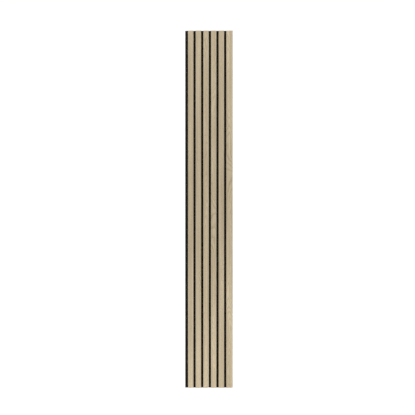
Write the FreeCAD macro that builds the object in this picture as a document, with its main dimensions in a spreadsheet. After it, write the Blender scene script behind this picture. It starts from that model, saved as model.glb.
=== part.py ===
"""Acoustic slat wall panel: veneered slats side by side on a black felt board.

The frame is in millimetres. X runs across the panel, -Y faces the room and +Z is up. The origin
is the centre of the back face, which lies on the wall.
"""

import FreeCAD
import Part
import Sketcher
import os

# Driving sizes: name, value in millimetres or pieces, and what it is
SIZES = [
    ("panel_length", 2400, "height of the panel on the wall"),
    ("slat_count", 6, "slats side by side, the wide one at the right edge among them"),
    ("slat_width", 36, "face width of a regular slat"),
    ("end_slat_width", 42.5, "face width of the slat at the panel's right edge"),
    ("slat_gap", 15.5, "bare felt between two slats"),
    ("side_strip", 19, "bare felt to the left of the first slat, where the next panel joins"),
    ("felt_thickness", 9, "needled polyester felt board"),
    ("core_thickness", 11.4, "fibreboard core of a slat"),
    ("core_arris", 0.5, "radius machined on the two front edges of a core"),
    ("veneer_thickness", 0.6, "oak veneer folded round the core"),
    ("staple_rows", 9, "staples that hold each slat"),
    ("staple_end_distance", 100, "from the end of the panel to its first row of staples"),
    ("staple_crown", 12.8, "outside width of a staple"),
    ("staple_leg", 16, "staple, from the back of its crown to its points"),
    ("staple_point", 1, "length of the slanting cut that makes the point of a leg"),
    ("staple_sink", 0.3, "how far a crown is pressed below the back of the felt"),
    ("wire_thickness", 0.7, "flat staple wire, the way it bends"),
    ("wire_width", 0.95, "flat staple wire, along the panel"),
]

# Distances that follow from the driving sizes, across the panel from the felt's left edge
PITCH = "(sizes.slat_width + sizes.slat_gap)"
PANEL_WIDTH = f"(sizes.side_strip + (sizes.slat_count - 1) * {PITCH} + sizes.end_slat_width)"
FIRST_CENTRE = "(sizes.side_strip + sizes.slat_width / 2)"
END_CENTRE = f"({PANEL_WIDTH} - sizes.end_slat_width / 2)"

# Two places nearer than this are the same place, in millimetres
TOUCH = 1e-6

doc = FreeCAD.newDocument("slat_panel")
sizes = doc.addObject("Spreadsheet::Sheet", "sizes")
for row, (name, value, meaning) in enumerate(SIZES, start=1):
    sizes.set(f"A{row}", meaning)
    sizes.set(f"B{row}", str(value))
    sizes.setAlias(f"B{row}", name)
doc.recompute()
END_SLAT = int(sizes.slat_count)


def slat_width(slat):
    """Face width of a slat, as an expression. The slats are numbered from 1 at the left."""
    return "sizes.end_slat_width" if slat == END_SLAT else "sizes.slat_width"


def slat_centre(slat):
    """Distance from the felt's left edge to the middle of a slat, as an expression."""
    return END_CENTRE if slat == END_SLAT else f"({FIRST_CENTRE} + {slat - 1} * {PITCH})"


def new_body(label, across="0", through="0"):
    """An empty body. Its place is counted from the felt's bottom left corner on the wall."""
    body = doc.addObject("PartDesign::Body", label)
    body.Label = label
    body.setExpression(".Placement.Base.x", f"{across} - {PANEL_WIDTH} / 2")
    body.setExpression(".Placement.Base.y", f"-({through})")
    body.setExpression(".Placement.Base.z", "-sizes.panel_length / 2")
    return body


def origin_feature(body, role):
    """One of the body's own planes or axes."""
    return next(f for f in body.Origin.OriginFeatures if f.Role == role)


def new_sketch(body, name, plane):
    """An empty sketch on one of the body's own planes."""
    sketch = body.newObject("Sketcher::SketchObject", name)
    sketch.AttachmentSupport = [(origin_feature(body, plane), "")]
    sketch.MapMode = "FlatFace"
    return sketch


def outline(sketch, points):
    """Straight lines through rough points, closed back to the first. Dimensions set the true places."""
    lines = []
    for start, end in zip(points, points[1:] + points[:1]):
        segment = Part.LineSegment(FreeCAD.Vector(*start, 0), FreeCAD.Vector(*end, 0))
        lines.append(sketch.addGeometry(segment))
    for line, following in zip(lines, lines[1:] + lines[:1]):
        sketch.addConstraint(Sketcher.Constraint("Coincident", line, 2, following, 1))
    return lines


def square_up(sketch, level=(), upright=()):
    """Holds some lines of a sketch level and others upright."""
    for line in level:
        sketch.addConstraint(Sketcher.Constraint("Horizontal", line))
    for line in upright:
        sketch.addConstraint(Sketcher.Constraint("Vertical", line))


def dimension(sketch, name, expression, kind, *places):
    """A named dimension of a sketch that follows an expression."""
    first_guess = 1.0
    number = sketch.addConstraint(Sketcher.Constraint(kind, *places, first_guess))
    sketch.renameConstraint(number, name)
    sketch.setExpression(f"Constraints.{name}", expression)


def edges_where(shape, wanted):
    """Names of the edges whose bounding boxes are as wanted."""
    return [f"Edge{n}" for n, edge in enumerate(shape.Edges, start=1) if wanted(edge.BoundBox)]


def faces_where(shape, wanted):
    """Names of the faces whose bounding boxes are as wanted."""
    return [f"Face{n}" for n, face in enumerate(shape.Faces, start=1) if wanted(face.BoundBox)]


def slat_block(body, width, depth, arris):
    """A bar as long as the panel, from the felt (y = 0) to the room, with rounded front edges."""
    sketch = new_sketch(body, "section", "XY_Plane")
    back, right, front, left = outline(sketch, [(-1, 0), (1, 0), (1, -1), (-1, -1)])
    square_up(sketch, level=(back, front), upright=(left, right))
    sketch.addConstraint(Sketcher.Constraint("Symmetric", back, 1, back, 2, -1, 1))
    dimension(sketch, "width", width, "DistanceX", back, 1, back, 2)
    dimension(sketch, "depth", depth, "DistanceY", right, 2, right, 1)

    bar = body.newObject("PartDesign::Pad", "bar")
    bar.Profile = sketch
    bar.setExpression("Length", "sizes.panel_length")
    doc.recompute()

    room_side = bar.Shape.BoundBox.YMin
    rounded = body.newObject("PartDesign::Fillet", "arrises")
    rounded.Base = (bar, edges_where(
        bar.Shape, lambda box: abs(box.YMax - room_side) < TOUCH and box.ZLength > TOUCH))
    rounded.setExpression("Radius", arris)
    doc.recompute()
    return rounded


def staple_outline(body, name, across, crown_back, crown_depth):
    """A staple seen from the end of the panel, legs towards the room, at the lowest row of staples.

    across and crown_back place the middle of the crown's back. crown_depth is measured from the
    underside of the crown, and is the wire's thickness or, for a cut, enough to leave the felt.
    """
    sketch = new_sketch(body, name, "XY_Plane")
    sketch.setExpression(".AttachmentOffset.Base.x", across)
    sketch.setExpression(".AttachmentOffset.Base.y", crown_back)
    sketch.setExpression(".AttachmentOffset.Base.z", "sizes.staple_end_distance")
    crown, right, right_point, right_inside, under, left_inside, _, left = outline(
        sketch, [(-4, 0), (4, 0), (4, -6), (3, -5), (3, -1), (-3, -1), (-3, -5), (-4, -6)])
    square_up(sketch, upright=(right, right_inside))
    centre_line = -2
    for one, other in (((crown, 1), (crown, 2)), ((under, 1), (under, 2)),
                       ((left, 1), (right, 2)), ((left_inside, 2), (right_inside, 1))):
        sketch.addConstraint(Sketcher.Constraint("Symmetric", *one, *other, centre_line))
    dimension(sketch, "crown", "sizes.staple_crown", "DistanceX", crown, 1, crown, 2)
    dimension(sketch, "crown_depth", crown_depth, "DistanceY", under, 1, crown, 2)
    dimension(sketch, "under_crown", "sizes.wire_thickness", "DistanceY", under, 1, -1, 1)
    dimension(sketch, "leg_thickness", "sizes.wire_thickness", "DistanceX", under, 1, right, 1)
    dimension(sketch, "leg", "sizes.staple_leg", "DistanceY", right, 2, -1, 1)
    dimension(sketch, "point", "sizes.staple_point", "DistanceY", right_point, 1, right_point, 2)
    return sketch


def staple_slot(body, name, across, crown_back):
    """The slot that a staple's wire makes."""
    clear_of_felt = "(sizes.staple_sink + 2 * sizes.wire_thickness)"
    slot = body.newObject("PartDesign::Pocket", name)
    slot.Profile = staple_outline(body, f"{name}_outline", across, crown_back, clear_of_felt)
    slot.SideType = "Symmetric"
    slot.setExpression("Length", "sizes.wire_width")
    doc.recompute()
    return slot


def staple_wire(body, name, across, crown_back):
    """One staple, bent from flat wire. The bends are round outside and tight inside."""
    sketch = staple_outline(body, f"{name}_outline", across, crown_back, "sizes.wire_thickness")
    wire = body.newObject("PartDesign::Pad", name)
    wire.Profile = sketch
    wire.SideType = "Symmetric"
    wire.setExpression("Length", "sizes.wire_width")
    doc.recompute()

    middle = sketch.AttachmentOffset.Base
    half_crown = sizes.staple_crown / 2
    bends = body.newObject("PartDesign::Fillet", f"{name}_bends")
    bends.Base = (wire, edges_where(
        wire.Shape, lambda box: box.ZLength > TOUCH and abs(box.YMax - middle.y) < TOUCH
        and abs(abs(box.XMin - middle.x) - half_crown) < TOUCH))
    bends.setExpression("Radius", "sizes.wire_thickness")
    bends.SupportTransform = True
    doc.recompute()
    return bends


def repeat_rows(body, feature):
    """Repeats a feature of the lowest row of staples at every row, up the panel."""
    rows = body.newObject("PartDesign::LinearPattern", f"{feature.Name}_rows")
    rows.Originals = [feature]
    rows.Direction = (origin_feature(body, "Z_Axis"), [""])
    rows.setExpression("Length", "sizes.panel_length - 2 * sizes.staple_end_distance")
    rows.setExpression("Occurrences", "sizes.staple_rows")
    body.Tip = rows
    doc.recompute()
    return rows


def on_every_slat(body, make):
    """Makes a staple feature behind the first slat, repeats it, and makes it behind the end slat."""
    crown_back = "-sizes.staple_sink"
    grid = repeat_rows(body, make(body, "regular", FIRST_CENTRE, crown_back))
    grid.Direction2 = (origin_feature(body, "X_Axis"), [""])
    grid.setExpression("Length2", f"(sizes.slat_count - 2) * {PITCH}")
    grid.setExpression("Occurrences2", "sizes.slat_count - 1")
    doc.recompute()
    repeat_rows(body, make(body, "end", END_CENTRE, crown_back))


def felt_backing():
    """The felt board, with the slots of the staples that go through it from the back."""
    body = new_body("felt_backing")
    sketch = new_sketch(body, "board", "XZ_Plane")
    bottom, right, top, left = outline(sketch, [(0, 0), (1, 0), (1, 1), (0, 1)])
    square_up(sketch, level=(bottom, top), upright=(left, right))
    sketch.addConstraint(Sketcher.Constraint("Coincident", bottom, 1, -1, 1))
    dimension(sketch, "width", PANEL_WIDTH, "DistanceX", bottom, 1, bottom, 2)
    dimension(sketch, "height", "sizes.panel_length", "DistanceY", right, 1, right, 2)

    board = body.newObject("PartDesign::Pad", "felt")
    board.Profile = sketch
    board.setExpression("Length", "sizes.felt_thickness")
    doc.recompute()
    on_every_slat(body, staple_slot)
    return body


def slat_core(slat):
    """The fibreboard core of a slat, with the slots that the staples' legs make in its back."""
    body = new_body(f"slat_core_{slat}", slat_centre(slat), "sizes.felt_thickness")
    width = f"{slat_width(slat)} - 2 * sizes.veneer_thickness"
    slat_block(body, width, "sizes.core_thickness", "sizes.core_arris")
    crown_back = "sizes.felt_thickness - sizes.staple_sink"
    repeat_rows(body, staple_slot(body, "legs", "0", crown_back))
    return body


def slat_veneer(slat):
    """A sheet of veneer folded over a core's face and both its sides, open at the back and ends."""
    body = new_body(f"slat_veneer_{slat}", slat_centre(slat), "sizes.felt_thickness")
    depth = "sizes.core_thickness + sizes.veneer_thickness"
    arris = "sizes.core_arris + sizes.veneer_thickness"
    block = slat_block(body, slat_width(slat), depth, arris)

    fold = body.newObject("PartDesign::Thickness", "fold")
    fold.Base = (block, faces_where(
        block.Shape, lambda box: box.ZLength < TOUCH or abs(box.YMin) < TOUCH))
    fold.Reversed = True
    fold.Join = "Intersection"
    fold.setExpression("Value", "sizes.veneer_thickness")
    return body


def slat_staples():
    """Every staple, driven from behind through the felt into the middle of each slat."""
    body = new_body("slat_staples")
    on_every_slat(body, staple_wire)
    return body


parts = [felt_backing()]
for slat in range(1, END_SLAT + 1):
    parts += [slat_core(slat), slat_veneer(slat)]
parts.append(slat_staples())
doc.recompute()

failed = [thing.Label for thing in doc.Objects if {"Invalid", "Error"} & set(thing.State)]
failed += [part.Label for part in parts if part.Shape.isNull() or not part.Shape.isValid()]
if failed:
    raise RuntimeError(f"these pieces did not build: {failed}")

os.makedirs("parts", exist_ok=True)
for part in parts:
    part.Shape.exportStep(os.path.join("parts", f"{part.Label}.step"))
    box = part.Shape.BoundBox
    print(part.Label, len(part.Shape.Solids), "solids", round(part.Shape.Volume, 1), "mm3",
          "size", round(box.XLength, 2), round(box.YLength, 2), round(box.ZLength, 2))
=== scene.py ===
"""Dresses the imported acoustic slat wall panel: oak veneer, fibreboard, needled felt and wire."""

import math

import bmesh
import bpy
from bpy.props import FloatProperty, FloatVectorProperty, IntProperty, PointerProperty
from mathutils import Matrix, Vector, noise


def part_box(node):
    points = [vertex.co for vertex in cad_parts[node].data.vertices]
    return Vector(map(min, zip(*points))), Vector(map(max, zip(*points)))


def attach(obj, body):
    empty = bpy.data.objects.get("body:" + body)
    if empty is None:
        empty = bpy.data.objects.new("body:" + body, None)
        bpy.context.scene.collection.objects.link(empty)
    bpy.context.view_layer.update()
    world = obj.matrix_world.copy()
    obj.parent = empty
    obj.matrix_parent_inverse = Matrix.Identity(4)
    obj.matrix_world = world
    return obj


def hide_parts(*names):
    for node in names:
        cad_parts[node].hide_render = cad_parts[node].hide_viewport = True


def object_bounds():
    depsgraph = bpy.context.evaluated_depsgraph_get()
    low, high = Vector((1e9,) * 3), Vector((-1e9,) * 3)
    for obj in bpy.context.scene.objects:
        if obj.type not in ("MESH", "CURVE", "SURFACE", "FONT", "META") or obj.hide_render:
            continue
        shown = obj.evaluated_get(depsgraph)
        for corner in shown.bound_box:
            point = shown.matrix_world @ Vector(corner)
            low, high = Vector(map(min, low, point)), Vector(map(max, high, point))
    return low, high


bl_info = {
    "name": "Acoustic slat wall panel",
    "version": (1, 0, 0),
    "blender": (4, 5, 0),
    "location": "3D View > Sidebar > Slat panel",
    "description": "Gives a slat wall panel its veneer, fibreboard, felt, staples and studio",
    "category": "Object",
}

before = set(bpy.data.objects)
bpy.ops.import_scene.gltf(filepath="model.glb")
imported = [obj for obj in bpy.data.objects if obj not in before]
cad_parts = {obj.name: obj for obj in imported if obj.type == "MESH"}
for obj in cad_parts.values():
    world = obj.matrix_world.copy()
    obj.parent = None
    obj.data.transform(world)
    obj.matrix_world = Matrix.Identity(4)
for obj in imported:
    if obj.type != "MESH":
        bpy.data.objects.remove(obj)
CAD_LOW, CAD_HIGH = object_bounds()

FELT_LOW, FELT_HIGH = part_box("felt_backing")
CORE_LOW, CORE_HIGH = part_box("slat_core_1")
SLAT_COUNT = sum(name.startswith("slat_veneer_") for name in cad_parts)
MM = 0.001
WHITE = (1.0, 1.0, 1.0, 1.0)

# Where the strips of veneer were cut from the great sheet: across it, and from strip to strip along it
CUTS_ACROSS = (0.175, 0.355, 0.485, 0.675, 0.945, 1.245)
CUT_ALONG = 0.713

# Maps and attributes that the veneer's mesh carries for its material, and a map kept for baking
SHEET_MAP = "sheet"
BAKE_MAP = "OFBake"
ARRIS = "arris"


# Sizes, colours and stage that a user can change

def linear(code):
    """An sRGB hex colour such as #CABA9C as linear red, green and blue."""
    channels = (int(code[at:at + 2], 16) / 255 for at in (1, 3, 5))
    return tuple(c / 12.92 if c <= 0.04045 else ((c + 0.055) / 1.055) ** 2.4 for c in channels)


def length(name, description, millimetres):
    """A size that is shown as a length, given in millimetres."""
    return FloatProperty(name=name, description=description, default=millimetres * MM,
                         min=0.0, precision=5, unit="LENGTH")


def colour(name, description, code):
    """A colour swatch, given as sRGB hex."""
    return FloatVectorProperty(name=name, description=description, subtype="COLOR",
                               default=linear(code), min=0.0, max=1.0)


def factor(name, description, share):
    """A share from 0 to 1."""
    return FloatProperty(name=name, description=description, subtype="FACTOR",
                         default=share, min=0.0, max=1.0)


class SlatPanelSizes(bpy.types.PropertyGroup):
    """Sizes of the visible pieces and of their patterns."""

    veneer_thickness: length("Veneer", "Thickness of the veneer folded round a slat", 0.6)
    arris_radius: length("Slat arris", "Outer radius of a slat's two front edges", 1.1)
    arris_steps: IntProperty(
        name="Arris steps", description="Flats that make up one rounded edge", default=8, min=1)
    slat_step: length("Slat step", "Length of one face along a slat", 40.0)
    crown_pitch: length("Crown pitch", "From the middle of one set of arches to the next", 190.0)
    crown_radius: length("Crown radius", "How round an arch is at its tip", 11.0)
    arch_pitch: length("Arch pitch", "From one arch to the next, along the slat", 68.0)
    arch_slope: FloatProperty(
        name="Arch slope", description="How much steeper an arch's legs run than across", default=17.0)
    arch_drift: length("Arch drift", "How far the spacing of the arches drifts along a slat", 238.0)
    arch_waver: length("Arch waver", "How far the line of one arch wavers along a slat", 40.8)
    ring_sway: length("Ring sway", "How far the arches wander sideways along a slat", 110.0)
    pore_width: length("Pore width", "Width of the largest open oak pore", 0.3)
    pore_length: length("Pore length", "Length of the largest open oak pore", 9.0)
    felt_step: length("Felt step", "Distance between two points of the felt's surface", 8.0)
    felt_edge: length("Felt edge", "Radius to which the cut edges of the felt are worn", 0.9)
    felt_relief: length("Felt relief", "Unevenness left by the needles in the felt", 0.25)
    felt_hill: length("Felt hill", "From one rise of the felt's surface to the next", 7.0)
    pit_depth: length("Pit depth", "How deep a staple pulls the felt in", 0.8)
    pit_reach: length("Pit reach", "How far from a staple the felt is pulled in", 5.0)
    fibre_width: length("Fibre width", "Width of a felt fibre, drawn coarse enough to show", 0.65)
    fibre_length: length("Fibre length", "Length of a felt fibre between two crossings", 5.0)
    saw_pitch: length("Saw pitch", "From one mark of the saw to the next on a slat's end", 0.9)
    wire_thickness: length("Wire thickness", "Flat staple wire, the way it bends", 0.7)
    wire_edge: length("Wire edge", "Radius of the flat wire's long edges", 0.12)
    staple_point: length("Staple point", "Length of the slanting cut at the end of a leg", 1.0)
    bend_steps: IntProperty(
        name="Bend steps", description="Flats that make up one bend of a staple", default=6, min=1)


class SlatPanelColours(bpy.types.PropertyGroup):
    """Colours of the finishes, and how strongly they show."""

    oak_light: colour("Oak, light", "Late wood, smooth and dense", "#CABA9C")
    oak_middle: colour("Oak, middle", "The sheet's usual tone", "#C1B092")
    oak_dark: colour("Oak, dark", "Early wood, full of pores", "#A69475")
    oak_pore: colour("Oak pore", "Inside an open pore", "#7B674D")
    fibreboard_light: colour("Fibreboard, light", "Pale fibres of the sawn board", "#B89B76")
    fibreboard_dark: colour("Fibreboard, dark", "Resin and dust between the fibres", "#86694A")
    felt_black: colour("Felt, black", "Depth of the felt", "#0C0B0B")
    # Grey of the felt's fibres: partly their own mixed colour, partly a painted highlight
    felt_grey_and_highlight: colour("Felt, grey", "Fibres that catch the light", "#3B3834")
    zinc: colour("Zinc", "Galvanised staple wire", "#BFC0C0")
    floor: colour("Floor", "Studio floor", "#F4F4F4")
    early_share: factor("Early wood", "How much of the dark colour early wood takes on", 0.62)
    pore_share: factor("Pores", "How much of its own colour a pore shows", 0.7)
    ray_share: factor("Rays", "How much paler the flecks of the rays are", 0.3)
    weathered_share: factor("Weathered zinc", "How much of the wire's lines the zinc hides", 0.7)


class SlatPanelStage(bpy.types.PropertyGroup):
    """Camera, lamps and floor."""

    picture_side: IntProperty(
        name="Picture side", description="Width and height of the picture", default=415,
        subtype="PIXEL")
    panel_pixels: FloatProperty(
        name="Panel height", description="Height of the panel in the picture", default=357.3,
        subtype="PIXEL")
    right_pixels: FloatProperty(
        name="Right of centre", description="From the picture's middle to the panel's",
        default=1.45, subtype="PIXEL")
    down_pixels: FloatProperty(
        name="Below centre", description="From the picture's middle to the panel's",
        default=1.7, subtype="PIXEL")
    lens: FloatProperty(
        name="Lens", description="Focal length, long for a flat view", default=100.0, unit="CAMERA")
    floor_drop: length("Floor drop", "From the bottom of the hung panel to the floor", 600.0)
    floor_lift: factor("Floor lift", "White added to the floor where it is looked at", 0.62)
    over_white: factor("Over white", "White added to the surroundings for the camera alone", 0.05)
    ambient: factor("Ambient", "Light from all round, where 1 shows colours as written", 0.5)
    side_watts: FloatProperty(
        name="Side lamps", description="Power of the softboxes at either side", default=8.4,
        unit="POWER")
    high_watts: FloatProperty(
        name="High lamp", description="Power of the softbox towards the top", default=13.2,
        unit="POWER")
    low_watts: FloatProperty(
        name="Low lamp", description="Power of the softbox towards the bottom", default=9.0,
        unit="POWER")


def settings():
    """The sizes, colours and stage of this scene."""
    scene = bpy.context.scene
    return scene.slat_panel_sizes, scene.slat_panel_colours, scene.slat_panel_stage


# Materials

def add(tree, kind, inputs=None, output=0, **values):
    """Adds a node, sets its values, fills its inputs with numbers, colours or links, gives an output."""
    made = tree.nodes.new("ShaderNode" + kind)
    node_spacing = 180
    made.location.x = node_spacing * len(tree.nodes)
    for name, value in values.items():
        setattr(made, name, value)
    for key, value in (inputs or {}).items():
        if isinstance(value, bpy.types.NodeSocket):
            tree.links.new(value, made.inputs[key])
        else:
            made.inputs[key].default_value = value
    return made.outputs[output] if made.outputs else None


# What the Math, Map Range and Mix nodes below are set to. The inputs of a Math node have one name
# between them, so they go by number.
TIMES = {"operation": "MULTIPLY"}
TIMES_PLUS = {"operation": "MULTIPLY_ADD"}
MINUS = {"operation": "SUBTRACT"}
LARGER = {"operation": "MAXIMUM"}
SOFT = {"interpolation_type": "SMOOTHSTEP"}
BLEND = {"data_type": "RGBA", "output": "Result"}
SHADE = {"data_type": "RGBA", "output": "Result", "blend_type": "MULTIPLY"}


def new_material(name):
    """An empty material and its node tree."""
    material = bpy.data.materials.new(name)
    material.use_nodes = True
    material.node_tree.nodes.clear()
    return material, material.node_tree


def opaque(rgb):
    """A colour with full alpha."""
    return (*rgb, 1.0)


def cells_of(*sides):
    """How many cells of a pattern go into a metre each way, from a cell's sides."""
    return tuple(1 / side for side in sides)


def oak_veneer():
    """Sliced oak veneer, sanded and matt lacquered, in a pale greige tone.

    The knife meets the trunk's rings at a slant, so they show as arches where it passed near the
    middle and as straight lines beside them. Each ring starts with early wood, dark with open pores
    that run along the grain as short grooves, and ends in smooth late wood. Soft streaks run
    the length of the sheet. The folded arrises are rubbed a little smoother and painted paler,
    partly as rubbed wear and partly as a painted highlight along each edge.
    """
    sizes, colours, _ = settings()
    material, tree = new_material("oak veneer, matt lacquer")
    sheet = add(tree, "UVMap", uv_map=SHEET_MAP)
    across, along, _ = add(tree, "SeparateXYZ", {"Vector": sheet}).node.outputs
    light, middle, dark, pore = (
        opaque(tone) for tone in
        (colours.oak_light, colours.oak_middle, colours.oak_dark, colours.oak_pore))

    def grain(wide, long, detail=1.0):
        """Soft noise from 0 to 1, in spots that are wide across the grain and long along it."""
        cells = add(tree, "Mapping", {"Vector": sheet, "Scale": cells_of(wide, long, 1.0)})
        return add(tree, "TexNoise", {"Vector": cells, "Scale": 1.0, "Detail": detail},
                   noise_dimensions="2D")

    def dashes(wide, long, share):
        """Short dashes along the grain, 0 to 1, up to wide and long where share is 1."""
        half_in_cell = 0.3
        cell = (wide / (2 * half_in_cell), long / (2 * half_in_cell), 1.0)
        cells = add(tree, "Mapping", {"Vector": sheet, "Scale": cells_of(*cell)})
        away = add(tree, "TexVoronoi", {"Vector": cells, "Scale": 1.0}, voronoi_dimensions="2D")
        half = add(tree, "Math", {0: share, 1: half_in_cell}, **TIMES)
        inside = add(tree, "Math", {0: half, 1: away}, **MINUS)
        return add(tree, "MapRange", {"Value": inside, "From Min": -0.02, "From Max": 0.06}, **SOFT)

    # Rings: each point's distance from the crown of its arches, and its place within a ring
    swayed = add(tree, "Math", {0: grain(150 * MM, 600 * MM), 1: sizes.ring_sway, 2: across}, **TIMES_PLUS)
    aside = add(tree, "Math", {0: swayed, 1: sizes.crown_pitch / 2}, operation="PINGPONG")
    square = add(tree, "Math", {0: aside, 1: aside, 2: sizes.crown_radius ** 2}, **TIMES_PLUS)
    leg = add(tree, "Math", {0: square}, operation="SQRT")
    arch = add(tree, "Math", {0: leg, 1: sizes.arch_slope, 2: along}, **TIMES_PLUS)
    drifting = grain(220 * MM, 190 * MM, 2.0)
    spaced = add(tree, "Math", {0: drifting, 1: sizes.arch_drift, 2: arch}, **TIMES_PLUS)
    wavering = grain(9 * MM, 70 * MM, 2.0)
    uneven = add(tree, "Math", {0: wavering, 1: sizes.arch_waver, 2: spaced}, **TIMES_PLUS)
    turns = add(tree, "Math", {0: uneven, 1: sizes.arch_pitch}, operation="DIVIDE")
    ring = add(tree, "Math", {0: turns}, operation="FRACT")

    # Early wood starts at once and ends softly within a ring, and is weaker at the tips of the arches
    starts = add(tree, "MapRange", {"Value": ring, "From Min": 0.0, "From Max": 0.06}, **SOFT)
    ends = add(tree, "MapRange", {
        "Value": ring, "From Min": 0.15, "From Max": 0.6, "To Min": 1.0, "To Max": 0.0}, **SOFT)
    band = add(tree, "Math", {0: starts, 1: ends}, **TIMES)
    tip_reach = 1.4 * sizes.crown_radius
    tips = add(tree, "MapRange", {
        "Value": aside, "From Min": 0.0, "From Max": tip_reach, "To Min": 0.5, "To Max": 1.0}, **SOFT)
    early = add(tree, "Math", {0: band, 1: tips}, **TIMES)

    # Body of the wood: clouds, early wood, streaks and fine threads
    streaks = grain(9 * MM, 900 * MM, 2.0)
    threads = grain(0.3 * MM, 45 * MM, 2.0)
    cloudy = add(tree, "MapRange", {
        "Value": grain(50 * MM, 500 * MM), "From Min": 0.3, "From Max": 0.7}, **SOFT)
    streaky = add(tree, "MapRange", {
        "Value": streaks, "From Min": 0.3, "From Max": 0.7, "To Min": 0.91, "To Max": 1.07}, **SOFT)
    thready = add(tree, "MapRange", {
        "Value": threads, "From Min": 0.25, "From Max": 0.75, "To Min": 0.95, "To Max": 1.04}, **SOFT)
    darkening = add(tree, "Math", {0: early, 1: colours.early_share}, **TIMES)
    body = add(tree, "Mix", {"Factor": cloudy, "A": middle, "B": light}, **BLEND)
    body = add(tree, "Mix", {"Factor": darkening, "A": body, "B": dark}, **BLEND)
    body = add(tree, "Mix", {"Factor": 1.0, "A": body, "B": streaky}, **SHADE)
    body = add(tree, "Mix", {"Factor": 1.0, "A": body, "B": thready}, **SHADE)

    # Pale flecks of rays, open pores that are largest in early wood, and arrises painted paler: partly
    # rubbed wear, partly a painted edge highlight
    open_share = add(tree, "MapRange", {
        "Value": early, "From Min": 0.0, "From Max": 0.8, "To Min": 0.3, "To Max": 1.0}, **SOFT)
    pores = dashes(sizes.pore_width, sizes.pore_length, open_share)
    rays = dashes(0.35 * MM, 3.5 * MM, 0.6)
    fleck = add(tree, "Math", {0: rays, 1: colours.ray_share}, **TIMES)
    hollow = add(tree, "Math", {0: pores, 1: colours.pore_share}, **TIMES)
    spots = grain(2 * MM, 30 * MM, 2.0)
    patchy = add(tree, "MapRange", {
        "Value": spots, "From Min": 0.3, "From Max": 0.7, "To Min": 0.15, "To Max": 0.55}, **SOFT)
    arris = add(tree, "Attribute", attribute_name=ARRIS, output="Fac")
    rubbed_and_highlit = add(tree, "Math", {0: arris, 1: patchy}, **TIMES)
    face = add(tree, "Mix", {"Factor": fleck, "A": body, "B": light}, **BLEND)
    face = add(tree, "Mix", {"Factor": hollow, "A": face, "B": pore}, **BLEND)
    # The arrises are painted paler here: partly rubbed wear, partly a painted highlight along each edge
    face = add(tree, "Mix", {"Factor": rubbed_and_highlit, "A": face, "B": light}, **BLEND)

    lacquer = add(tree, "MapRange", {
        "Value": streaks, "From Min": 0.2, "From Max": 0.8, "To Min": 0.48, "To Max": 0.58}, **SOFT)
    dull = add(tree, "Math", {0: pores, 1: 0.2, 2: lacquer}, **TIMES_PLUS)
    gloss = add(tree, "Math", {0: rubbed_and_highlit, 1: -0.15, 2: dull}, **TIMES_PLUS)
    grooves = add(tree, "Math", {0: pores, 1: -1.0}, **TIMES)
    relief = add(tree, "Math", {0: threads, 1: 0.12, 2: grooves}, **TIMES_PLUS)
    bump = add(tree, "Bump", {"Height": relief, "Strength": 0.5, "Distance": 0.1 * MM})
    shader = add(tree, "BsdfPrincipled", {
        "Base Color": face, "Roughness": gloss, "Normal": bump, "Specular IOR Level": 0.35})
    add(tree, "OutputMaterial", {"Surface": shader})
    return material


def fibreboard():
    """Medium density fibreboard, sawn across.

    Steamed wood fibres are pressed flat in resin, harder and darker towards the two faces than
    in the middle, so the sawn end shows short crossing fibres, furry in the middle, under the fine
    parallel marks of the saw. A real fibre is under a tenth of a millimetre wide, and is drawn
    thicker here so that it shows.
    """
    sizes, colours, _ = settings()
    material, tree = new_material("fibreboard, sawn")
    place = add(tree, "TexCoord", output="Object")
    wide, deep, _ = add(tree, "SeparateXYZ", {"Vector": place}).node.outputs
    cells = add(tree, "Mapping", {
        "Vector": place, "Scale": cells_of(1.8 * MM, 0.45 * MM, 1.8 * MM)})
    fibres = add(tree, "TexNoise", {"Vector": cells, "Scale": 1.0, "Detail": 4.0, "Roughness": 0.7})

    middle = (CORE_LOW.y + CORE_HIGH.y) / 2
    offset = add(tree, "Math", {0: deep, 1: middle}, **MINUS)
    from_middle = add(tree, "Math", {0: offset}, operation="ABSOLUTE")
    pressed = add(tree, "MapRange", {
        "Value": from_middle, "From Min": 2.5 * MM, "From Max": CORE_HIGH.y - middle}, **SOFT)
    loose = add(tree, "MapRange", {"Value": fibres, "From Min": 0.3, "From Max": 0.7}, **SOFT)
    pale = add(tree, "Math", {0: pressed, 1: -0.35, 2: loose}, **TIMES_PLUS)
    face = add(tree, "Mix", {
        "Factor": pale, "A": opaque(colours.fibreboard_dark),
        "B": opaque(colours.fibreboard_light)}, **BLEND)
    gloss = add(tree, "MapRange", {"Value": pressed, "To Min": 0.95, "To Max": 0.8}, **SOFT)

    turning = add(tree, "Math", {0: wide, 1: 2 * math.pi / sizes.saw_pitch, 2: fibres}, **TIMES_PLUS)
    teeth = add(tree, "Math", {0: turning}, operation="SINE")
    height = add(tree, "Math", {0: teeth, 1: 0.12, 2: fibres}, **TIMES_PLUS)
    bump = add(tree, "Bump", {"Height": height, "Strength": 0.7, "Distance": 0.2 * MM})
    shader = add(tree, "BsdfPrincipled", {
        "Base Color": face, "Roughness": gloss, "Normal": bump, "Specular IOR Level": 0.2})
    add(tree, "OutputMaterial", {"Surface": shader})
    return material


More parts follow.
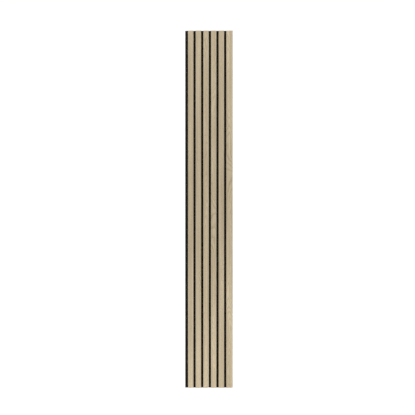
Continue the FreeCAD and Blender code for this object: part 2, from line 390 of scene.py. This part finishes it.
def polyester_felt():
    """Needled polyester felt board, dyed black.

    Barbed needles tangle crimped fibres into a mat without a weave. The eye sees fine curls that
    cross in every direction, some of them greyer, over a depth that gives nothing back. Their grey is
    partly the fibres' own mixed colour and partly a painted highlight.
    A real fibre is a twentieth of a millimetre wide, and is drawn thicker here so that it shows.
    """
    sizes, colours, _ = settings()
    material, tree = new_material("needled polyester felt")
    place = add(tree, "TexCoord", output="Object")
    curl = add(tree, "TexNoise", {"Vector": place, "Scale": 1 / (5 * MM), "Detail": 2.0}, output="Color")
    crimp = 4 * MM
    bent = add(tree, "VectorMath", {0: curl, 1: (crimp, crimp, crimp), 2: place}, **TIMES_PLUS)

    # Fibres lie in four directions, given in degrees, and curl away from them
    mat = 0.0
    for turn in (10, 55, 100, 145):
        lie = add(tree, "Mapping", {
            "Vector": bent, "Rotation": (0.0, math.radians(turn), 0.0),
            "Scale": (sizes.fibre_length, sizes.fibre_width, sizes.fibre_width)},
            vector_type="TEXTURE")
        spread = add(tree, "TexNoise", {"Vector": lie, "Scale": 1.0, "Detail": 0.0})
        offset = add(tree, "Math", {0: spread, 1: 0.5}, **MINUS)
        beside = add(tree, "Math", {0: offset}, operation="ABSOLUTE")
        fibre = add(tree, "MapRange", {
            "Value": beside, "From Min": 0.0, "From Max": 0.05, "To Min": 1.0, "To Max": 0.0}, **SOFT)
        mat = add(tree, "Math", {0: fibre, 1: mat}, **LARGER)

    patches = add(tree, "TexNoise", {"Vector": place, "Scale": 1 / (14 * MM), "Detail": 3.0})
    patchy = add(tree, "MapRange", {
        "Value": patches, "From Min": 0.3, "From Max": 0.7, "To Min": 0.2, "To Max": 0.9}, **SOFT)
    # Grey fibres in patches: the felt's mixed fibres, with a painted highlight on them
    grey_and_highlit = add(tree, "Math", {0: mat, 1: patchy}, **TIMES)
    face = add(tree, "Mix", {
        "Factor": grey_and_highlit, "A": opaque(colours.felt_black), "B": opaque(colours.felt_grey_and_highlight)}, **BLEND)
    height = add(tree, "Math", {0: patches, 1: 0.8, 2: mat}, **TIMES_PLUS)
    bump = add(tree, "Bump", {"Height": height, "Strength": 0.8, "Distance": 0.3 * MM})
    shader = add(tree, "BsdfPrincipled", {
        "Base Color": face, "Roughness": 1.0, "Normal": bump, "Specular IOR Level": 0.1})
    add(tree, "OutputMaterial", {"Surface": shader})
    return material


def galvanised_wire():
    """Steel wire, drawn, dipped in zinc and rolled flat.

    The drawing leaves fine bright and dark lines along it, wider here than real ones so that they
    show, and the zinc has weathered to duller, whiter patches.
    """
    _, colours, _ = settings()
    material, tree = new_material("galvanised steel wire")
    place = add(tree, "TexCoord", output="Object")
    cells = add(tree, "Mapping", {"Vector": place, "Scale": cells_of(3 * MM, 3 * MM, 0.12 * MM)})
    lines = add(tree, "TexNoise", {"Vector": cells, "Scale": 1.0, "Detail": 2.0})
    patches = add(tree, "TexNoise", {"Vector": place, "Scale": 1 / (1.6 * MM), "Detail": 3.0})
    weathered = add(tree, "MapRange", {"Value": patches, "From Min": 0.4, "From Max": 0.62}, **SOFT)
    lined = add(tree, "MapRange", {
        "Value": lines, "From Min": 0.3, "From Max": 0.7, "To Min": 0.55, "To Max": 0.9}, **SOFT)
    whitening = add(tree, "Math", {0: weathered, 1: colours.weathered_share}, **TIMES)
    drawn = add(tree, "Mix", {"Factor": 1.0, "A": opaque(colours.zinc), "B": lined}, **SHADE)
    face = add(tree, "Mix", {"Factor": whitening, "A": drawn, "B": opaque(colours.zinc)}, **BLEND)

    polish = add(tree, "MapRange", {
        "Value": lines, "From Min": 0.3, "From Max": 0.7, "To Min": 0.24, "To Max": 0.38}, **SOFT)
    gloss = add(tree, "Math", {0: weathered, 1: 0.2, 2: polish}, **TIMES_PLUS)
    bump = add(tree, "Bump", {"Height": lines, "Strength": 0.3, "Distance": 0.02 * MM})
    shader = add(tree, "BsdfPrincipled", {
        "Base Color": face, "Metallic": 1.0, "Roughness": gloss, "Normal": bump})
    add(tree, "OutputMaterial", {"Surface": shader})
    return material


# Pieces

def new_piece(made, name, material):
    """An object from a finished bmesh, with its material, in the scene."""
    mesh = bpy.data.meshes.new(name)
    made.to_mesh(mesh)
    made.free()
    mesh.materials.append(material)
    piece = bpy.data.objects.new(name, mesh)
    bpy.context.scene.collection.objects.link(piece)
    return piece


def dress(piece, node):
    """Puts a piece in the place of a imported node."""
    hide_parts(node)
    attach(piece, "root")


def shade_smooth(piece, sharp_from):
    """Smooth shading up to an angle in degrees, that leaves large flat faces flat."""
    for face in piece.data.polygons:
        face.use_smooth = True
    piece.data.set_sharp_from_angle(angle=math.radians(sharp_from))
    weighted = piece.modifiers.new("weighted normals", "WEIGHTED_NORMAL")
    weighted.keep_sharp = True


def folded_section(half_width, back, front, radius, steps):
    """Points of a fold from the felt round a slat's face and back to the felt, left to right."""
    turns = [math.pi / 2 * step / steps for step in range(steps + 1)]
    left = [(-half_width + radius * (1 - math.cos(turn)), front + radius * (1 - math.sin(turn)))
            for turn in turns]
    right = [(-x, y) for x, y in reversed(left)]
    return [(-half_width, back), *left, *right, (half_width, back)]


def shares_along(points):
    """How far along the line through them each point lies, from 0 to 1, and the line's length."""
    runs = [0.0]
    for one, other in zip(points, points[1:]):
        runs.append(runs[-1] + math.dist(one, other))
    return [run / runs[-1] for run in runs], runs[-1]


def veneer_fold(low, high, cut_from):
    """A sheet of veneer folded round a slat, open at the back and both ends.

    The sheet map gives each point's place on the flat sheet in metres, so that the grain turns the
    arrises unbroken. cut_from is where on the great sheet this strip was cut. The bake map spreads the
    strip over the whole image, because a pattern drawn at one scale both ways would lose the pores.
    """
    sizes, _, _ = settings()
    half_width = (high.x - low.x) / 2
    middle = (high.x + low.x) / 2
    steps = sizes.arris_steps
    thickness = sizes.veneer_thickness
    outer = folded_section(half_width, high.y, low.y, sizes.arris_radius, steps)
    inner = folded_section(half_width - thickness, high.y, low.y + thickness,
                           sizes.arris_radius - thickness, steps)
    share, full = shares_along(outer)
    last = len(outer) - 1
    tall = high.z - low.z
    rows = round(tall / sizes.slat_step)

    made = bmesh.new()
    sheet = made.loops.layers.uv.new(SHEET_MAP)
    bake = made.loops.layers.uv.new(BAKE_MAP)
    arris = made.verts.layers.float.new(ARRIS)
    levels = [low.z + tall * row / rows for row in range(rows + 1)]
    out, inn = ([[made.verts.new((middle + x, y, z)) for x, y in section] for z in levels]
                for section in (outer, inner))

    # 0 where a rounded edge starts and ends, and 1 at its middle
    for line in out:
        for n in (*range(1, steps + 2), *range(last - steps - 1, last)):
            line[n][arris] = math.sin(math.pi * ((n - 1) % (steps + 1)) / steps)

    def face(corners, places, strip):
        """A face whose corners lie at those shares across and up one strip of the bake map."""
        start, end = strip
        for loop, (u, v) in zip(made.faces.new(corners).loops, places):
            loop[sheet].uv = (cut_from[0] + u * full, cut_from[1] + v * tall)
            loop[bake].uv = (start + (end - start) * u, v)

    # Strips of the bake map, from one share of its width to another
    outside, inside, left_cut, right_cut = (0.0, 0.84), (0.85, 0.94), (0.95, 0.96), (0.965, 0.975)
    ends_from, ends_to = 0.98, 1.0
    end_tall, top_end_at = 0.45, 0.55

    for row in range(rows):
        low_share = row / rows
        high_share = (row + 1) / rows
        for n in range(last):
            a, b = share[n], share[n + 1]
            square = [(a, low_share), (b, low_share), (b, high_share), (a, high_share)]
            face([out[row][n], out[row][n + 1], out[row + 1][n + 1], out[row + 1][n]], square, outside)
            face([inn[row][n], inn[row + 1][n], inn[row + 1][n + 1], inn[row][n + 1]],
                 [square[0], square[3], square[2], square[1]], inside)
        square = [(0.0, low_share), (1.0, low_share), (1.0, high_share), (0.0, high_share)]
        face([inn[row][0], out[row][0], out[row + 1][0], inn[row + 1][0]], square, left_cut)
        face([out[row][last], inn[row][last], inn[row + 1][last], out[row + 1][last]],
             square, right_cut)

    for row, base in ((0, 0.0), (rows, top_end_at)):
        for n in range(last):
            corners = [(out[row][n], ends_from, n), (inn[row][n], ends_to, n),
                       (inn[row][n + 1], ends_to, n + 1), (out[row][n + 1], ends_from, n + 1)]
            if row:
                corners.reverse()
            drawn = made.faces.new([vertex for vertex, _, _ in corners])
            for loop, (_, u, at) in zip(drawn.loops, corners):
                loop[sheet].uv = (cut_from[0] + share[at] * full, cut_from[1] + tall * row / rows)
                loop[bake].uv = (u, base + end_tall * share[at])
    return made


class SLATPANEL_OT_veneer(bpy.types.Operator):
    """Fold a strip of oak veneer round every slat"""

    bl_idname = "slat_panel.veneer"
    bl_label = "Veneer"

    def execute(self, context):
        material = oak_veneer()
        for slat in range(1, SLAT_COUNT + 1):
            node = f"slat_veneer_{slat}"
            low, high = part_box(node)
            cut_from = (CUTS_ACROSS[(slat - 1) % len(CUTS_ACROSS)], CUT_ALONG * slat)
            piece = new_piece(veneer_fold(low, high, cut_from), f"veneer_fold_{slat}", material)
            shade_smooth(piece, sharp_from=30.0)
            dress(piece, node)
        return {"FINISHED"}


def staple_boxes():
    """Lowest and highest corner of every packed staple, row by row from the bottom."""
    made = bmesh.new()
    made.from_mesh(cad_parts["slat_staples"].data)
    bmesh.ops.remove_doubles(made, verts=made.verts, dist=0.001 * MM)
    boxes = []
    left = set(made.verts)
    while left:
        island = [left.pop()]
        for vertex in island:
            for edge in vertex.link_edges:
                other = edge.other_vert(vertex)
                if other in left:
                    left.remove(other)
                    island.append(other)
        columns = list(zip(*(vertex.co for vertex in island)))
        boxes.append((Vector([min(column) for column in columns]),
                      Vector([max(column) for column in columns])))
    made.free()
    return sorted(boxes, key=lambda box: (round(box[0].z, 4), box[0].x))


def staple_outline(half_crown, crown_back, points_at):
    """A staple seen from the end of the panel, bent round outside and tight inside."""
    sizes, _, _ = settings()
    thick = sizes.wire_thickness
    right = []
    for step in range(sizes.bend_steps + 1):
        turn = math.pi / 2 * step / sizes.bend_steps
        right.append((half_crown - thick * (1 - math.sin(turn)),
                      crown_back - thick * (1 - math.cos(turn))))
    right += [
        (half_crown, points_at),
        (half_crown - thick, points_at + sizes.staple_point),
        (half_crown - thick, crown_back - thick),
    ]
    return right + [(-x, y) for x, y in reversed(right)]


def bent_wires(boxes):
    """Flat wires bent into staples, one in each box."""
    sizes, _, _ = settings()
    low, high = boxes[0]
    outline = staple_outline((high.x - low.x) / 2, high.y, low.y)
    wide = high.z - low.z
    made = bmesh.new()
    for low, high in boxes:
        x = (low.x + high.x) / 2
        near = [made.verts.new((x + px, py, low.z)) for px, py in outline]
        far = [made.verts.new((x + px, py, low.z + wide)) for px, py in outline]
        made.faces.new(near)
        made.faces.new(far[::-1])
        for n, here in enumerate(near):
            made.faces.new([here, far[n], far[n - 1], near[n - 1]])
    bmesh.ops.recalc_face_normals(made, faces=made.faces)
    rim = [edge for edge in made.edges
           if abs(edge.verts[0].co.z - edge.verts[1].co.z) < wide / 2]
    bmesh.ops.bevel(made, geom=rim, offset=sizes.wire_edge, segments=2, profile=0.5,
                    affect="EDGES", clamp_overlap=True)
    return made


class SLATPANEL_OT_staples(bpy.types.Operator):
    """Bend the galvanised staples that hold the slats from behind"""

    bl_idname = "slat_panel.staples"
    bl_label = "Staples"

    def execute(self, context):
        piece = new_piece(bent_wires(staple_boxes()), "staple_wires", galvanised_wire())
        shade_smooth(piece, sharp_from=50.0)
        dress(piece, "slat_staples")
        return {"FINISHED"}


def stations(low, high, step, marks):
    """Places from low to high, about a step apart, that take in every mark."""
    fixed = sorted({low, high, *(round(mark, 6) for mark in marks if low < mark < high)})
    places = [low]
    for start, end in zip(fixed, fixed[1:]):
        parts = max(1, round((end - start) / step))
        places += [start + (end - start) * n / parts for n in range(1, parts + 1)]
    return places


def needled_board(staples):
    """A felt board with worn cut edges, uneven, and pulled in round each staple.

    A staple is given by the middle of its crown across and up, and half the crown's width.
    """
    sizes, _, _ = settings()
    reach = sizes.pit_reach
    edge = sizes.felt_edge

    # The surface's points lie closest where an edge or a pit bends most
    bends = (0.15, 0.5, 1.0)
    marks_x = [place for bend in bends for place in (FELT_LOW.x + bend * edge, FELT_HIGH.x - bend * edge)]
    marks_z = [place for bend in bends for place in (FELT_LOW.z + bend * edge, FELT_HIGH.z - bend * edge)]
    for x, z, half in staples:
        marks_x += [x + side * (half + ring * reach) for side in (-1, 1) for ring in (-0.2, *bends)]
        marks_z += [z + side * ring * reach for side in (-1, 1) for ring in (0.0, *bends)]
    columns = stations(FELT_LOW.x, FELT_HIGH.x, sizes.felt_step, marks_x)
    levels = stations(FELT_LOW.z, FELT_HIGH.z, sizes.felt_step, marks_z)

    def worn(x, z):
        """How far the surface falls back at the board's cut edges."""
        near = min(x - FELT_LOW.x, FELT_HIGH.x - x, z - FELT_LOW.z, FELT_HIGH.z - z)
        if near >= edge:
            return 0.0
        return edge - math.sqrt(edge ** 2 - (edge - near) ** 2)

    def needled(x, z, side):
        """How far the needles left the surface below its highest point."""
        spot = Vector((x, z, side)) / sizes.felt_hill
        return sizes.felt_relief * (0.5 + 0.5 * noise.noise(spot))

    def pulled(x, z):
        """How far the nearest staple pulls the back in."""
        deepest = 0.0
        for middle, row, half in staples:
            if abs(z - row) < reach and abs(x - middle) < half + reach:
                gap = math.hypot(max(0.0, abs(x - middle) - half), z - row)
                deepest = max(deepest, sizes.pit_depth * (1 - min(1.0, gap / reach)) ** 2)
        return deepest

    made = bmesh.new()
    front = [[made.verts.new((x, FELT_LOW.y + worn(x, z) + needled(x, z, 0.0), z))
              for x in columns] for z in levels]
    back = [[made.verts.new((x, FELT_HIGH.y - worn(x, z) - needled(x, z, 1.0) - pulled(x, z), z))
             for x in columns] for z in levels]
    for low, high, deep_low, deep_high in zip(front, front[1:], back, back[1:]):
        for n in range(len(columns) - 1):
            made.faces.new([low[n], low[n + 1], high[n + 1], high[n]])
            made.faces.new([deep_low[n], deep_high[n], deep_high[n + 1], deep_low[n + 1]])
    front_rim, back_rim = (
        side[0][:-1] + [line[-1] for line in side[:-1]] + side[-1][:0:-1]
        + [line[0] for line in side[:0:-1]] for side in (front, back))
    for n, here in enumerate(front_rim):
        made.faces.new([front_rim[n - 1], back_rim[n - 1], back_rim[n], here])
    for face in made.faces:
        face.smooth = True
    return made


class SLATPANEL_OT_felt(bpy.types.Operator):
    """Lay the felt board, pulled in where the staples go through"""

    bl_idname = "slat_panel.felt"
    bl_label = "Felt"

    def execute(self, context):
        staples = [((low.x + high.x) / 2, (low.z + high.z) / 2, (high.x - low.x) / 2)
                   for low, high in staple_boxes()]
        piece = new_piece(needled_board(staples), "felt_board", polyester_felt())
        dress(piece, "felt_backing")
        return {"FINISHED"}


class SLATPANEL_OT_cores(bpy.types.Operator):
    """Finish the sawn fibreboard cores, which show at the ends of the slats"""

    bl_idname = "slat_panel.cores"
    bl_label = "Cores"

    def execute(self, context):
        material = fibreboard()
        for slat in range(1, SLAT_COUNT + 1):
            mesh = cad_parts[f"slat_core_{slat}"].data
            mesh.materials.clear()
            mesh.materials.append(material)
        return {"FINISHED"}


# Stage

def seen_directly(tree):
    """1 where the eye, a reflection or glass looks straight at this, and 0 for light that it gives."""
    path = add(tree, "LightPath").node.outputs
    seen = add(tree, "Math", {0: path["Is Camera Ray"], 1: path["Is Glossy Ray"]}, **LARGER)
    return add(tree, "Math", {0: seen, 1: path["Is Transmission Ray"]}, **LARGER)


def photo_camera(stage):
    """A camera that sees the panel straight on, where and as large as the photo shows it."""
    middle = (CAD_LOW + CAD_HIGH) / 2
    pixel = (CAD_HIGH.z - CAD_LOW.z) / stage.panel_pixels
    data = bpy.data.cameras.new("photo camera")
    data.lens = stage.lens
    distance = pixel * stage.picture_side * stage.lens / data.sensor_width
    camera = bpy.data.objects.new("photo camera", data)
    camera.location = (middle.x - stage.right_pixels * pixel, CAD_LOW.y - distance,
                       middle.z + stage.down_pixels * pixel)
    camera.rotation_euler = (math.pi / 2, 0.0, 0.0)
    return camera


def softbox(name, place, target, side, power):
    """A square lamp with sides of that length at a place, turned to a target."""
    data = bpy.data.lights.new(name, "AREA")
    data.shape = "SQUARE"
    data.size = side
    data.energy = power
    lamp = bpy.data.objects.new(name, data)
    lamp.location = place
    lamp.rotation_euler = (Vector(target) - lamp.location).to_track_quat("-Z", "Y").to_euler()
    lamp.visible_camera = False
    lamp.visible_glossy = False
    return lamp


def white_surroundings(stage):
    """A world that looks white and gives a softer light.

    The camera alone sees it a little over white, so that it stays white when the picture is denoised.
    """
    world = bpy.data.worlds.new("white surroundings")
    world.use_nodes = True
    tree = world.node_tree
    tree.nodes.clear()
    strength = add(tree, "MapRange", {
        "Value": seen_directly(tree), "To Min": stage.ambient, "To Max": 1.0})
    camera_ray = add(tree, "LightPath", output="Is Camera Ray")
    shown = add(tree, "Math", {0: camera_ray, 1: stage.over_white, 2: strength}, **TIMES_PLUS)
    light = add(tree, "Background", {"Color": WHITE, "Strength": shown})
    add(tree, "OutputWorld", {"Surface": light})
    return world


def floor_paint():
    """Matt white floor paint, rolled on, so even that the eye finds nothing on it.

    Looked at, it is as white as the surroundings. Only its paint takes part in the light.
    """
    _, colours, stage = settings()
    material, tree = new_material("matt floor paint")
    paint = add(tree, "BsdfDiffuse", {"Color": opaque(colours.floor)})
    amount = add(tree, "Math", {0: seen_directly(tree), 1: stage.floor_lift}, **TIMES)
    lift = add(tree, "Emission", {"Color": WHITE, "Strength": amount})
    both = add(tree, "AddShader", {0: paint, 1: lift})
    add(tree, "OutputMaterial", {"Surface": both})
    return material


class SLATPANEL_OT_stage(bpy.types.Operator):
    """Set up the camera, the soft lamps, the white surroundings and the floor"""

    bl_idname = "slat_panel.stage"
    bl_label = "Stage"

    def execute(self, context):
        _, _, stage = settings()
        scene = context.scene
        scene.view_settings.view_transform = "Standard"
        scene.camera = photo_camera(stage)
        scene.collection.objects.link(scene.camera)
        for lamp in (
                softbox("left softbox", (-2.4, -3.0, 0.0), (0.0, 0.0, 0.0), 2.4, stage.side_watts),
                softbox("right softbox", (2.4, -3.0, 0.0), (0.0, 0.0, 0.0), 2.4, stage.side_watts),
                softbox("high softbox", (0.0, -1.5, 1.5), (0.0, 0.0, 1.2), 1.4, stage.high_watts),
                softbox("low softbox", (0.0, -1.3, -1.3), (0.0, 0.0, -1.1), 1.0, stage.low_watts)):
            scene.collection.objects.link(lamp)
        scene.world = white_surroundings(stage)

        floor_radius = 12.0
        middle = (CAD_LOW + CAD_HIGH) / 2
        made = bmesh.new()
        bmesh.ops.create_circle(made, cap_ends=True, segments=96, radius=floor_radius)
        bmesh.ops.translate(made, verts=made.verts,
                            vec=(middle.x, middle.y, CAD_LOW.z - stage.floor_drop))
        new_piece(made, "floor", floor_paint())
        return {"FINISHED"}


# Sidebar and start

class SLATPANEL_PT_panel(bpy.types.Panel):
    """Buttons and settings of the slat panel"""

    bl_idname = "SLATPANEL_PT_panel"
    bl_label = "Slat panel"
    bl_space_type = "VIEW_3D"
    bl_region_type = "UI"
    bl_category = "Slat panel"

    def draw(self, context):
        for operator in OPERATORS:
            self.layout.operator(operator.bl_idname)
        for group in settings():
            box = self.layout.box()
            for name in group.__annotations__:
                box.prop(group, name)


GROUPS = (SlatPanelSizes, SlatPanelColours, SlatPanelStage)
OPERATORS = (
    SLATPANEL_OT_stage,
    SLATPANEL_OT_felt,
    SLATPANEL_OT_cores,
    SLATPANEL_OT_veneer,
    SLATPANEL_OT_staples,
)


def register():
    """Makes the settings, the operators and the sidebar panel known."""
    for part in (*GROUPS, *OPERATORS, SLATPANEL_PT_panel):
        bpy.utils.register_class(part)
    bpy.types.Scene.slat_panel_sizes = PointerProperty(type=SlatPanelSizes)
    bpy.types.Scene.slat_panel_colours = PointerProperty(type=SlatPanelColours)
    bpy.types.Scene.slat_panel_stage = PointerProperty(type=SlatPanelStage)


def unregister():
    """Takes them away again, last one first."""
    del bpy.types.Scene.slat_panel_stage
    del bpy.types.Scene.slat_panel_colours
    del bpy.types.Scene.slat_panel_sizes
    for part in reversed((*GROUPS, *OPERATORS, SLATPANEL_PT_panel)):
        bpy.utils.unregister_class(part)


def main():
    """Builds everything in order."""
    register()
    bpy.ops.slat_panel.stage()
    bpy.ops.slat_panel.felt()
    bpy.ops.slat_panel.cores()
    bpy.ops.slat_panel.veneer()
    bpy.ops.slat_panel.staples()


if __name__ == "__main__":
    main()
